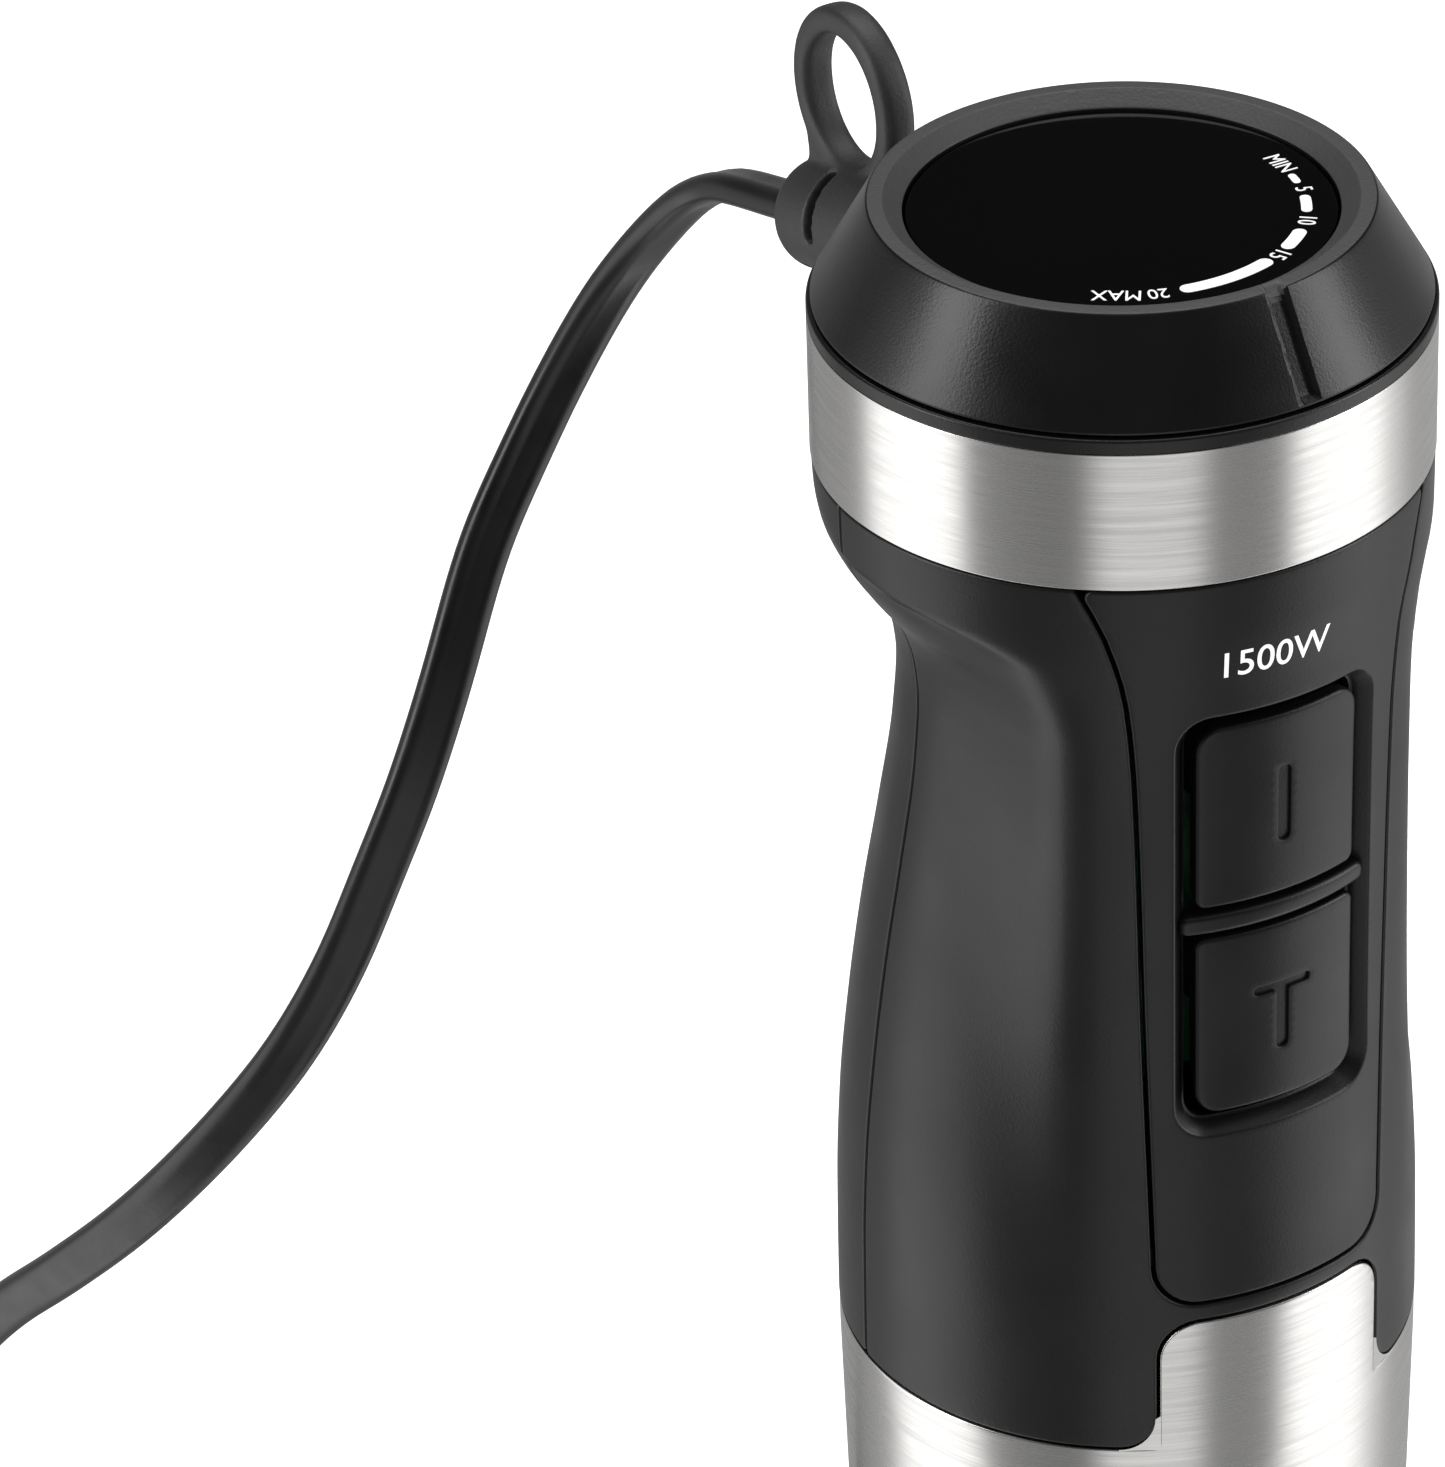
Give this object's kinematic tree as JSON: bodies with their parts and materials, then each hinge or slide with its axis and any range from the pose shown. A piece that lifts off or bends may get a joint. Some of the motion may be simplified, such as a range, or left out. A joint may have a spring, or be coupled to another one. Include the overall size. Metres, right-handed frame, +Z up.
{
  "type": "electric hand blender",
  "caption": "Electric hand blender with a speed dial on top, two push buttons, a steel collar and sleeve, a latched blending foot, a mains cord and a plug.",
  "frame": {"origin": "on the blender's own axis, at the rim of the bell guard that it stands on", "axes": "+Z up along the blender's axis from the bell guard to the speed dial, -Y towards the side with the buttons, +Y towards the side the mains cord leaves from"},
  "size_m": [0.1141, 0.3571, 0.4018],
  "materials": {
    "satin_plastic": "satin black, fine textured moulding",
    "gloss_black": "polished black",
    "brushed_steel": "fine circular brushing",
    "machined_steel": "turned and ground",
    "pin_nickel": "nickel plated",
    "bronze": "sintered, oil filled",
    "copper": "enamelled copper wire",
    "carbon": "pressed carbon",
    "board": "green solder mask",
    "electronics": "moulded cases",
    "white_print": "light grey print",
    "nylon": "natural nylon",
    "inner_plastic": "plain moulding",
    "soft_rubber": "matte fine grained"
  },
  "bodies": {
    "base": {"bell_guard": "brushed_steel", "foot_tube": "brushed_steel", "foot_collar": "satin_plastic", "latch_ring": "machined_steel", "lower_bush": "bronze", "shaft_seal": "soft_rubber", "upper_bush": "bronze", "coupling_ring": "satin_plastic", "lower_sleeve": "brushed_steel", "motor_frame": "inner_plastic", "release_springs": "machined_steel", "lower_bearing": "machined_steel", "upper_bearing": "machined_steel", "bearing_bridge": "inner_plastic", "stator_core": "machined_steel", "field_windings": "copper", "brush_holders": "inner_plastic", "carbon_brushes": "carbon", "front_shell": "satin_plastic", "rear_shell": "satin_plastic", "button_panel": "satin_plastic", "micro_switches": "electronics", "switch_board": "board", "shell_screws": "machined_steel", "steel_collar": "brushed_steel", "top_chassis": "inner_plastic", "cap_ring": "satin_plastic", "control_board": "board", "board_parts": "electronics", "speed_control": "electronics", "lens_carrier": "inner_plastic", "dial_glass": "gloss_black", "dial_scale": "white_print", "mains_wires": "copper", "strain_relief": "soft_rubber", "power_cord": "soft_rubber", "cord_coil": "soft_rubber", "cord_tail": "soft_rubber", "plug_body": "soft_rubber", "plug_pins": "pin_nickel"},
    "dial": {"speed_dial": "satin_plastic"},
    "control": {"control_pinion": "nylon"},
    "on_key": {"on_button": "satin_plastic"},
    "turbo_key": {"turbo_button": "satin_plastic"},
    "release_left": {"release_button_left": "satin_plastic"},
    "release_right": {"release_button_right": "satin_plastic"},
    "rotor": {"motor_shaft": "machined_steel", "armature_core": "machined_steel", "armature_windings": "copper", "commutator": "copper", "cooling_fan": "inner_plastic", "motor_coupler": "nylon"},
    "blade_drive": {"drive_shaft": "machined_steel", "blade_hub": "machined_steel", "blade_wings": "machined_steel", "blade_nut": "machined_steel", "foot_coupler": "nylon"}
  },
  "joints": [
    {"name": "dial_turn", "type": "hinge", "parent": "base", "child": "dial", "pos_m": [0, 0, 0.395], "axis": [0, 0, 1], "range_deg": [-38, 87]},
    {"name": "control_turn", "type": "hinge", "parent": "base", "child": "control", "pos_m": [0, 0.0108, 0.3924], "axis": [0, 0, 1], "range_deg": [-96, 219]},
    {"name": "on_press", "type": "slide", "parent": "base", "child": "on_key", "axis": [0, 1, 0], "range_m": [0, 0.002], "stiffness_N_per_m": 1500, "springref_m": -0.001},
    {"name": "turbo_press", "type": "slide", "parent": "base", "child": "turbo_key", "axis": [0, 1, 0], "range_m": [0, 0.002], "stiffness_N_per_m": 1500, "springref_m": -0.001},
    {"name": "release_left_press", "type": "slide", "parent": "base", "child": "release_left", "axis": [1, 0, 0], "range_m": [0, 0.0025], "stiffness_N_per_m": 2000, "springref_m": -0.001},
    {"name": "release_right_press", "type": "slide", "parent": "base", "child": "release_right", "axis": [-1, 0, 0], "range_m": [0, 0.0025], "stiffness_N_per_m": 2000, "springref_m": -0.001},
    {"name": "motor_spin", "type": "hinge", "parent": "base", "child": "rotor", "pos_m": [0, 0, 0.24], "axis": [0, 0, 1], "continuous": true},
    {"name": "blade_spin", "type": "hinge", "parent": "base", "child": "blade_drive", "pos_m": [0, 0, 0.1], "axis": [0, 0, 1], "continuous": true}
  ],
  "couplings": [
    {"joint": "control_turn", "follows": "dial_turn", "ratio": 2.5},
    {"joint": "blade_spin", "follows": "motor_spin", "ratio": 1}
  ]
}
